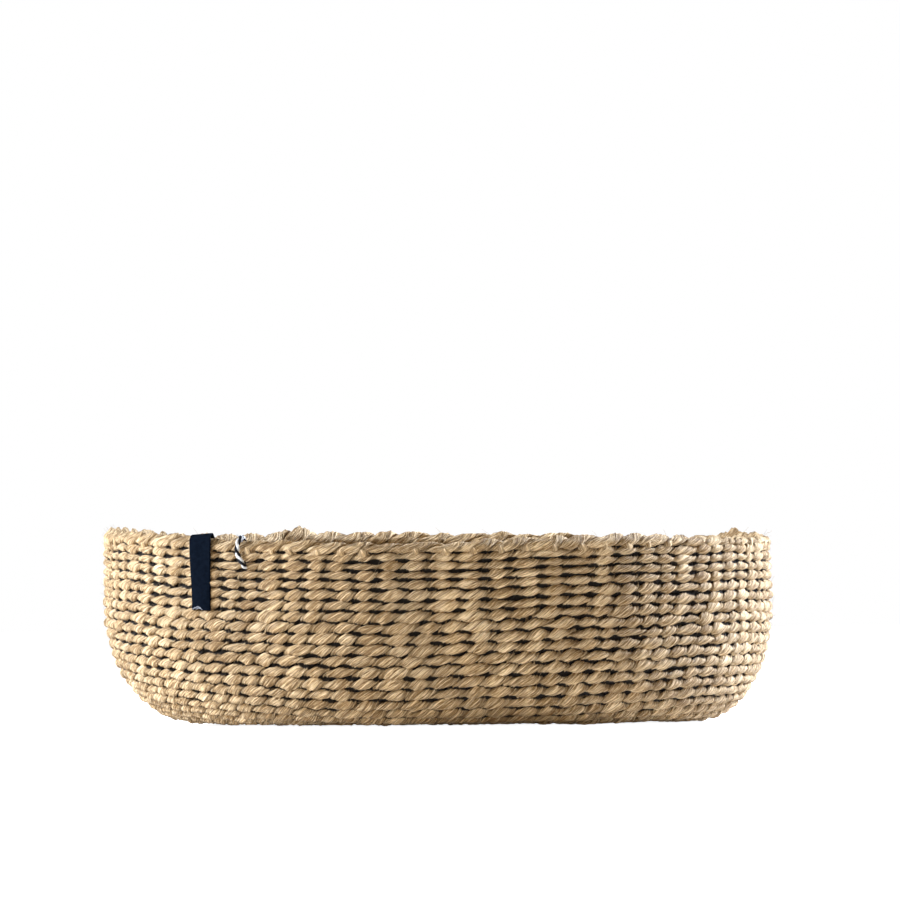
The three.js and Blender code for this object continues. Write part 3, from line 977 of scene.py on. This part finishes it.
# Points of each thread: sideways from the tape's middle, and above its end
THREAD_ROUTES = [
    [(-0.0052, 0.0006), (-0.0030, 0.0011), (-0.0004, 0.0017), (0.0014, 0.0010)],
    [(-0.0046, 0.0002), (-0.0024, 0.0014), (-0.0008, 0.0020), (0.0004, 0.0009)],
    [(-0.0034, 0.0013), (-0.0016, 0.0006), (0.0006, 0.0010), (0.0024, 0.0003)],
    [(-0.0020, 0.0002), (-0.0010, 0.0012), (0.0008, 0.0014), (0.0018, 0.0004)],
]
threads = []
for number, route in enumerate(THREAD_ROUTES):
    beside_middle, above_end = np.array(route).T
    line = smooth_line(on_label(beside_middle, LABEL_END + above_end, THREAD_OUT), THREAD_STEPS)
    threads.append(tube_along(f"label_thread_{number}", line, THREAD_RADIUS, THREAD_SIDES))
label_threads = join_pieces(threads, "label_threads")
ride_and_replace([label_threads], ["label_stitch"])
print("label threads:", len(threads))

# %% Twine
TWINE_RADIUS = 0.0013
TWINE_TOP_ANGLE = math.radians(-125.3)
TWINE_BOW_ANGLE = math.radians(-125.5)
TWINE_FOOT_ANGLE = math.radians(-124.3)
TWINE_INNER_ANGLE = math.radians(-126.8)
TWINE_DROP_OUTSIDE = 0.0125
TWINE_DROP_INSIDE = 0.012
TWINE_TUCK = 0.001
TWINE_ROOT = 0.003
TWINE_PITCH = 0.0074
TWINE_STEPS = 24
TWINE_SIDES = 10
PLY_SHARE = 0.56
CLEARANCE = 0.0003
RIM_CHAMFER = 0.0014

away = CLEARANCE + TWINE_RADIUS
mitre = away * math.tan(math.pi / 8)
shoulder = RIM_TOP - RIM_CHAMFER + mitre
brow = SKIN - RIM_CHAMFER + mitre
twine_route = [
    (TWINE_FOOT_ANGLE, RIM_TOP - TWINE_DROP_OUTSIDE - TWINE_TUCK, TWINE_ROOT),
    (TWINE_FOOT_ANGLE, RIM_TOP - TWINE_DROP_OUTSIDE, SKIN + away),
    (TWINE_BOW_ANGLE, RIM_TOP - TWINE_DROP_OUTSIDE / 2, SKIN + away),
    (TWINE_TOP_ANGLE, shoulder, SKIN + away),
    (TWINE_TOP_ANGLE, RIM_TOP + away, brow),
    (TWINE_INNER_ANGLE, RIM_TOP + away, -brow),
    (TWINE_INNER_ANGLE, shoulder, -SKIN - away),
    (TWINE_INNER_ANGLE, RIM_TOP - TWINE_DROP_INSIDE, -SKIN - away),
]
twine_line = smooth_line(on_bowl(*np.array(twine_route).T), TWINE_STEPS)
twine_beside, twine_above = beside_line(twine_line)
wind = TURN * line_lengths(twine_line)[:, None] / TWINE_PITCH
plies = {}
for name, phase in (("white_ply", math.pi), ("black_ply", 0)):
    across_line = np.cos(wind + phase) * twine_beside - np.sin(wind + phase) * twine_above
    ply_line = twine_line + across_line * TWINE_RADIUS / 2
    plies[name] = tube_along(name, ply_line, TWINE_RADIUS * PLY_SHARE, TWINE_SIDES)
print("twine: length", round(float(line_lengths(twine_line)[-1]), 4))

# %% Frayed fibres of the twine
FRAY_FIBRES = 9
FRAY_RADIUS = 0.00012
FRAY_SIDES = 4
FRAY_STEPS = 3
FRAY_SPREAD = 0.0006
FRAY_WANDER = 0.0005
FRAY_LENGTHS = (0.75, 1.1)
FRAY_SEED = 600
# Four points of a fibre: their heights over the rim, and their share of its lean
FRAY_HEIGHT = np.array([-0.0010, 0.0010, 0.0020, 0.0030])
FRAY_LEAN = np.array([0, 0.5, 1.2, 2.0])

fray_random = np.random.default_rng(FRAY_SEED)
fray = []
for number in range(FRAY_FIBRES):
    spread, lean = fray_random.normal(0, FRAY_SPREAD, 2)
    run = RIM_TOP + FRAY_HEIGHT * fray_random.uniform(*FRAY_LENGTHS)
    angle = TWINE_TOP_ANGLE + (spread + lean * FRAY_LEAN) / STAKE_RADIUS
    out = brow + fray_random.normal(0, FRAY_WANDER, len(FRAY_HEIGHT))
    line = smooth_line(on_bowl(angle, run, out), FRAY_STEPS)
    fray.append(tube_along(f"fray_{number}", line, FRAY_RADIUS, FRAY_SIDES))
print("frayed fibres:", len(fray))

# %% [markdown]
# ## Loose fibres
# No hand twists every fibre in. Short hairs stand off the strands all over, and closer together along the
# rim. They could be the hairs of a particle system. Here each is a mesh like the other pieces: a thin
# three-sided tube that starts in a strand and lifts off it. All of them are joined into one piece.

# %% Loose fibres
LOOSE_ON_WALL = 260
LOOSE_ON_RIM = 40
LOOSE_RADIUS = 0.00009
LOOSE_ROOT = 0.0036
LOOSE_LOWEST = BASE_EDGE + 0.026
LOOSE_NEAR_RIM = (-0.0040, -0.0005)
LOOSE_LENGTH = (0.0025, 0.0075)
LOOSE_HEADING, HEADING_SPREAD = 0.45, 0.55
LOOSE_BEND = 0.30
LOOSE_LIFT = (0.0008, 0.0026)
LOOSE_POINTS = 6
LOOSE_SIDES = 3
LOOSE_TAPER = 0.6
LOOSE_SEED = 700


def loose_fibre(number, random, run):
    length = random.uniform(*LOOSE_LENGTH)
    heading = random.normal(LOOSE_HEADING, HEADING_SPREAD)
    share = np.linspace(0, 1, LOOSE_POINTS)
    bend = random.normal(0, LOOSE_BEND) * share**2
    angle = random.uniform(0, TURN) + length * share * np.cos(heading + bend) / STAKE_RADIUS
    reached = run + length * share * np.sin(heading + bend)
    out = LOOSE_ROOT + random.uniform(*LOOSE_LIFT) * share**1.5
    thickness = LOOSE_RADIUS * (1 - LOOSE_TAPER * share)
    return tube_along(f"loose_{number}", on_bowl(angle, reached, out), thickness, LOOSE_SIDES)


loose_random = np.random.default_rng(LOOSE_SEED)
loose = []
for number in range(LOOSE_ON_WALL):
    loose.append(loose_fibre(number, loose_random, loose_random.uniform(LOOSE_LOWEST, RIM_EDGE)))
for number in range(LOOSE_ON_RIM):
    near_rim = RIM_TOP + loose_random.uniform(*LOOSE_NEAR_RIM)
    loose.append(loose_fibre(LOOSE_ON_WALL + number, loose_random, near_rim))
loose_fibres = join_pieces(loose, "loose_fibres")
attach(loose_fibres, "root")
weave.append(loose_fibres)
print("loose fibres:", len(loose), "faces:", len(loose_fibres.data.polygons))

# %% [markdown]
# ## Shader nodes
# A finish is a small graph of nodes. A few short functions add a node, feed it and hand back what the next
# one needs, so that each finish below reads from top to bottom.

# %% Shader nodes
def new_material(name):
    material = bpy.data.materials.new(name)
    material.use_nodes = True
    nodes = material.node_tree.nodes
    nodes.clear()
    output = nodes.new("ShaderNodeOutputMaterial")
    shader = nodes.new("ShaderNodeBsdfPrincipled")
    material.node_tree.links.new(shader.outputs["BSDF"], output.inputs["Surface"])
    return material, nodes, material.node_tree.links, shader


def feed(links, socket, value):
    """Links a socket to another one, or sets its value."""
    if isinstance(value, bpy.types.NodeSocket):
        links.new(value, socket)
    else:
        socket.default_value = value


def attribute_node(nodes, name):
    node = nodes.new("ShaderNodeAttribute")
    node.attribute_name = name
    return node


def noise_node(nodes, links, vector, scale, detail, roughness):
    node = nodes.new("ShaderNodeTexNoise")
    node.inputs["Scale"].default_value = scale
    node.inputs["Detail"].default_value = detail
    node.inputs["Roughness"].default_value = roughness
    links.new(vector, node.inputs["Vector"])
    return node.outputs["Fac"]


def ramp_node(nodes, links, value, stops):
    node = nodes.new("ShaderNodeValToRGB")
    elements = node.color_ramp.elements
    for element, (place, colour) in zip(elements, stops[:2]):
        element.position = place
        element.color = (*colour, 1)
    for place, colour in stops[2:]:
        elements.new(place).color = (*colour, 1)
    links.new(value, node.inputs["Fac"])
    return node.outputs["Color"]


def mix_node(nodes, links, factor, first, second):
    node = nodes.new("ShaderNodeMix")
    node.data_type = "RGBA"
    node.blend_type = "MIX"
    feed(links, node.inputs["Factor"], factor)
    feed(links, node.inputs["A"], first)
    feed(links, node.inputs["B"], second)
    return node.outputs["Result"]


def math_node(nodes, links, operation, *values):
    node = nodes.new("ShaderNodeMath")
    node.operation = operation
    for socket, value in zip(node.inputs, values):
        feed(links, socket, value)
    return node.outputs["Value"]


def range_node(nodes, links, value, start, end):
    """A smooth step from 0 at start to 1 at end."""
    node = nodes.new("ShaderNodeMapRange")
    node.interpolation_type = "SMOOTHSTEP"
    links.new(value, node.inputs["Value"])
    node.inputs["From Min"].default_value = min(start, end)
    node.inputs["From Max"].default_value = max(start, end)
    node.inputs["To Min"].default_value = float(start > end)
    node.inputs["To Max"].default_value = float(start < end)
    return node.outputs["Result"]


def set_surface(shader, roughness, specular, sheen):
    shader.inputs["Roughness"].default_value = roughness
    shader.inputs["Specular IOR Level"].default_value = specular
    shader.inputs["Sheen Weight"].default_value = sheen


def add_relief(nodes, links, shader, height, strength, distance):
    bump = nodes.new("ShaderNodeBump")
    bump.inputs["Strength"].default_value = strength
    bump.inputs["Distance"].default_value = distance
    links.new(height, bump.inputs["Height"])
    links.new(bump.outputs["Normal"], shader.inputs["Normal"])


# %% [markdown]
# ## Sisal
# Sisal is a dry, matt leaf fibre. Its colour runs from straw to a pale cream along the fibres, each stitch
# differs a little, painted shade darkens the splits between bundles of fibre, and painted shadow makes the
# pits between the rows nearly black. The painted shadow is read from the "section" attribute, so it stays
# where the strands meet. The fibres show as fine ridges, so the same pattern that colours them also drives
# the bump. The pattern reads the "fibre" attribute, so it turns with each strand's twist.

# %% Sisal finish
STRAW_DARK = (0.25, 0.143, 0.055)
STRAW = (0.57, 0.378, 0.182)
STRAW_PALE = (0.81, 0.600, 0.352)
DARK_AT, STRAW_AT, PALE_AT = 0.42, 0.49, 0.59
# Painted shade in the splits between bundles of fibre
SPLIT_PAINTED_SHADE = (0.16, 0.088, 0.034, 1)
# Painted shadow: the near-black colour painted into the pits between the rows, and where that painting starts
# and ends
PIT_PAINTED_SHADOW = (0.008, 0.005, 0.003, 1)
PIT_OUTER, PIT_INNER = 0.62, 0.42
PIT_EDGE, PIT_MIDDLE = 0.36, 0.54
# How far the painted shade darkens the strands and the stakes
STRAND_PAINTED_SHADE_DEPTH = 0.99
STAKE_PAINTED_SHADE_DEPTH = 0.85
# Scale, detail and roughness of the patterns along the fibres
FINE_FIBRES = (1.4, 4, 0.68)
FOLD_PATTERN = (0.75, 2, 0.5)
SPLIT_PATTERN = (1.25, 1, 0.5)
PATCH_PATTERN = (0.45, 0, 0.5)
SHORT_FIBRES = 3.0
STITCH_SHADE = 0.022
SPLIT_STEEPNESS = 11.0
SPLIT_FROM, SPLIT_TO = 0.47, 0.72
LEAST_SMOOTH = (0.10, 0.10, 0.10)
ALL_SMOOTH = (1.0, 1.0, 1.0)
FOLD_RELIEF = 1.4
SPLIT_RELIEF = 0.35
FIBRE_RELIEF = 0.0011


def sisal_material(name, painted_shade_depth):
    material, nodes, links, shader = new_material(name)
    fibre = attribute_node(nodes, "fibre").outputs["Vector"]
    tint = attribute_node(nodes, "tint").outputs["Fac"]
    section = nodes.new("ShaderNodeSeparateXYZ")
    links.new(attribute_node(nodes, "section").outputs["Vector"], section.inputs["Vector"])
    shorter = nodes.new("ShaderNodeMapping")
    shorter.inputs["Scale"].default_value = (1.0, 1.0, SHORT_FIBRES)
    links.new(fibre, shorter.inputs["Vector"])
    fine = noise_node(nodes, links, shorter.outputs["Vector"], *FINE_FIBRES)
    folds = noise_node(nodes, links, fibre, *FOLD_PATTERN)
    split = noise_node(nodes, links, fibre, *SPLIT_PATTERN)
    patch = noise_node(nodes, links, fibre, *PATCH_PATTERN)

    # Streaks along the fibres, and a shade for each stitch
    shade = math_node(nodes, links, "MULTIPLY_ADD", tint, STITCH_SHADE, fine)
    straws = [(DARK_AT, STRAW_DARK), (PALE_AT, STRAW_PALE), (STRAW_AT, STRAW)]
    streaks = ramp_node(nodes, links, shade, straws)

    # Painted shade in the splits between bundles of fibre, in some stitches deeper than in others
    away = math_node(nodes, links, "ABSOLUTE", math_node(nodes, links, "SUBTRACT", split, 0.5))
    open_here = math_node(nodes, links, "MULTIPLY", away, SPLIT_STEEPNESS)
    ridge = math_node(nodes, links, "MINIMUM", open_here, 1.0)
    smoothness = ramp_node(nodes, links, patch, [(SPLIT_FROM, LEAST_SMOOTH), (SPLIT_TO, ALL_SMOOTH)])
    filled = math_node(nodes, links, "MAXIMUM", ridge, smoothness)
    straw_with_painted_splits = mix_node(nodes, links, filled, SPLIT_PAINTED_SHADE, streaks)

    # Painted shadow, nearly black, in the pits where the rows meet, and a light painted shade where the plies
    # of a row meet
    recessed = range_node(nodes, links, section.outputs["X"], PIT_OUTER, PIT_INNER)
    buried = range_node(nodes, links, section.outputs["Y"], PIT_EDGE, PIT_MIDDLE)
    pit = math_node(nodes, links, "MULTIPLY", recessed, buried)
    dark = math_node(nodes, links, "MAXIMUM", pit, section.outputs["Z"])
    depth = math_node(nodes, links, "MULTIPLY", dark, painted_shade_depth)
    links.new(mix_node(nodes, links, depth, straw_with_painted_splits, PIT_PAINTED_SHADOW), shader.inputs["Base Color"])
    set_surface(shader, roughness=0.62, specular=0.06, sheen=0.04)

    # The same fibres, folds and splits in relief
    relief = math_node(nodes, links, "MULTIPLY_ADD", folds, FOLD_RELIEF, fine)
    relief = math_node(nodes, links, "MULTIPLY_ADD", filled, SPLIT_RELIEF, relief)
    add_relief(nodes, links, shader, relief, strength=1.0, distance=FIBRE_RELIEF)
    return material


sisal = sisal_material("sisal", STRAND_PAINTED_SHADE_DEPTH)
for strand in weave:
    strand.data.materials.append(sisal)
# The stakes take the sisal finish with a lighter painted pit shadow, and are painted darker throughout as
# painted shade
stakes_painted_darker = sisal_material("stakes_painted_darker", STAKE_PAINTED_SHADE_DEPTH)
for piece in stakes:
    piece.data.materials.append(stakes_painted_darker)
print("pieces in sisal:", len(weave), "in dry stakes:", len(stakes))

# %% [markdown]
# ## Tape, thread and twine
# The tape is a dark woven cotton. Its weave is too fine to model, so two waves across each other, along and
# across the tape, give the bump, and a noise makes the dye uneven. The thread and the plies of the twine
# are spun cotton: the same "fibre" attribute that the sisal reads gives them a fine slant of fibres.

# %% Tape finish
TAPE_DARK = (0.0009, 0.0019, 0.0042)
TAPE_PALE = (0.0028, 0.0050, 0.0092)
TAPE_DARK_AT, TAPE_PALE_AT = 0.35, 0.85
TAPE_RIBS = (("X", 0.62), ("Y", 0.45))
RIB_DISTORTION = 0.6
RIB_DETAIL = 2.0
RIB_SHADE = 0.35
DYE_PATTERN = (0.35, 3, 0.6)


def tape_material():
    material, nodes, links, shader = new_material("dark_tape")
    cloth = attribute_node(nodes, "cloth").outputs["Vector"]
    ribs = []
    for direction, scale in TAPE_RIBS:
        wave = nodes.new("ShaderNodeTexWave")
        wave.bands_direction = direction
        wave.inputs["Scale"].default_value = scale
        wave.inputs["Distortion"].default_value = RIB_DISTORTION
        wave.inputs["Detail Scale"].default_value = RIB_DETAIL
        links.new(cloth, wave.inputs["Vector"])
        ribs.append(wave.outputs["Fac"])
    weave_relief = math_node(nodes, links, "MULTIPLY", *ribs)
    uneven = noise_node(nodes, links, cloth, *DYE_PATTERN)
    shade = math_node(nodes, links, "MULTIPLY_ADD", weave_relief, RIB_SHADE, uneven)
    dye = ramp_node(nodes, links, shade, [(TAPE_DARK_AT, TAPE_DARK), (TAPE_PALE_AT, TAPE_PALE)])
    links.new(dye, shader.inputs["Base Color"])
    set_surface(shader, roughness=0.9, specular=0.01, sheen=0.0)
    add_relief(nodes, links, shader, weave_relief, strength=0.8, distance=0.0003)
    return material


label.data.materials.append(tape_material())
print("tape finish:", label.data.materials[0].name)

# %% Thread and twine finishes
# Dark and pale colour of each cotton
GREY_COTTON = ((0.12, 0.12, 0.13), (0.36, 0.36, 0.38))
WHITE_COTTON = ((0.50, 0.48, 0.45), (0.84, 0.82, 0.78))
BLACK_COTTON = ((0.003, 0.003, 0.004), (0.012, 0.012, 0.014))
COTTON_DARK_AT, COTTON_PALE_AT = 0.35, 0.65
SPUN_PATTERN = (3.0, 3, 0.65)


def cotton_material(name, dark, pale):
    material, nodes, links, shader = new_material(name)
    fibre = attribute_node(nodes, "fibre").outputs["Vector"]
    spun = noise_node(nodes, links, fibre, *SPUN_PATTERN)
    shade = ramp_node(nodes, links, spun, [(COTTON_DARK_AT, dark), (COTTON_PALE_AT, pale)])
    links.new(shade, shader.inputs["Base Color"])
    set_surface(shader, roughness=0.8, specular=0.06, sheen=0.02)
    add_relief(nodes, links, shader, spun, strength=0.8, distance=0.0004)
    return material


grey_cotton = cotton_material("grey_cotton", *GREY_COTTON)
label_threads.data.materials.append(grey_cotton)
plies["white_ply"].data.materials.append(cotton_material("white_cotton", *WHITE_COTTON))
plies["black_ply"].data.materials.append(cotton_material("black_cotton", *BLACK_COTTON))
for fibre in fray:
    fibre.data.materials.append(grey_cotton)
twine = join_pieces([plies["white_ply"], plies["black_ply"], *fray], "twine")
ride_and_replace([twine], ["twine_loop"])
print("twine finishes:", [slot.material.name for slot in twine.material_slots])

# %% [markdown]
# ## Floor and light
# The bowl stands on a pale, warm floor, which lies just under its lowest strands and throws a little warm
# light up the wall. Its back is clear, so the base can be looked at from below. Two large soft lamps at the
# left and the right make both sides bright and leave the front darker, and a weak warm lamp in front fills
# the shade. The floor and the background are white only where they are seen directly, so that their white
# adds no light.

# %% Floor
FLOOR_HEIGHT = -0.0010
FLOOR_SIZE = 30
FLOOR_COLOUR = (0.93, 0.885, 0.81, 1)
FLOOR_ROUGHNESS = 0.9
FLOOR_GLOW = 0.94


def seen_directly(nodes, links):
    """1 for rays from the camera, reflections and glass, and 0 for light that reaches other surfaces."""
    path = nodes.new("ShaderNodeLightPath")
    value = path.outputs["Is Camera Ray"]
    for name in ("Is Glossy Ray", "Is Transmission Ray"):
        value = math_node(nodes, links, "MAXIMUM", value, path.outputs[name])
    return value


def mix_shaders(nodes, links, factor, first, second):
    node = nodes.new("ShaderNodeMixShader")
    links.new(factor, node.inputs["Fac"])
    links.new(first, node.inputs[1])
    links.new(second, node.inputs[2])
    return node.outputs["Shader"]


bpy.ops.object.select_all(action="DESELECT")
bpy.ops.mesh.primitive_plane_add(size=FLOOR_SIZE, location=(0, 0, FLOOR_HEIGHT))
floor = bpy.context.object
floor.name = "floor"
material, nodes, links, shader = new_material("pale_floor")
shader.inputs["Base Color"].default_value = FLOOR_COLOUR
shader.inputs["Roughness"].default_value = FLOOR_ROUGHNESS
glow = nodes.new("ShaderNodeEmission")
glow.inputs["Strength"].default_value = FLOOR_GLOW
both = nodes.new("ShaderNodeAddShader")
links.new(shader.outputs["BSDF"], both.inputs[0])
links.new(glow.outputs["Emission"], both.inputs[1])
seen = seen_directly(nodes, links)
shown = mix_shaders(nodes, links, seen, shader.outputs["BSDF"], both.outputs["Shader"])
behind = nodes.new("ShaderNodeNewGeometry").outputs["Backfacing"]
clear = nodes.new("ShaderNodeBsdfTransparent").outputs["BSDF"]
one_sided = mix_shaders(nodes, links, behind, shown, clear)
links.new(one_sided, nodes["Material Output"].inputs["Surface"])
floor.data.materials.append(material)
print("floor:", FLOOR_SIZE, "m wide, at", FLOOR_HEIGHT)

# %% World and lamps
WORLD_COLOUR = (1.0, 0.84, 0.62, 1)
WORLD_LIGHT = 0.060
WHITE = (1, 1, 1, 1)
LAMP_AIM = Vector((0, 0, 0.05))


def background_node(nodes, colour, strength):
    node = nodes.new("ShaderNodeBackground")
    node.inputs["Color"].default_value = colour
    node.inputs["Strength"].default_value = strength
    return node.outputs["Background"]


def soft_lamp(name, place, size, power, colour):
    bpy.ops.object.light_add(type="AREA", location=place)
    lamp = bpy.context.object
    lamp.name = name
    lamp.data.shape = "RECTANGLE"
    lamp.data.size, lamp.data.size_y = size
    lamp.data.energy = power
    lamp.data.color = colour
    lamp.rotation_euler = (LAMP_AIM - lamp.location).to_track_quat("-Z", "Y").to_euler()
    return lamp


scene = bpy.context.scene
scene.view_settings.view_transform = "Standard"
scene.world = bpy.data.worlds.new("studio")
scene.world.use_nodes = True
nodes, links = scene.world.node_tree.nodes, scene.world.node_tree.links
nodes.clear()
output = nodes.new("ShaderNodeOutputWorld")
dim = background_node(nodes, WORLD_COLOUR, WORLD_LIGHT)
white = background_node(nodes, WHITE, 1.0)
links.new(mix_shaders(nodes, links, seen_directly(nodes, links), dim, white), output.inputs["Surface"])

# Name, place, size, power and colour of each lamp
lamps = [
    soft_lamp("left_lamp", (-1.65, -0.08, 0.72), (1.2, 0.9), 103, (0.89, 1.0, 1.20)),
    soft_lamp("right_lamp", (1.35, 0.66, 0.75), (0.5, 0.5), 105, (0.86, 1.0, 1.27)),
    soft_lamp("front_lamp", (-0.3, -1.7, 0.25), (1.4, 0.5), 8.5, (1.0, 0.85, 0.64)),
]
print("lamps:", {lamp.name: lamp.data.energy for lamp in lamps})
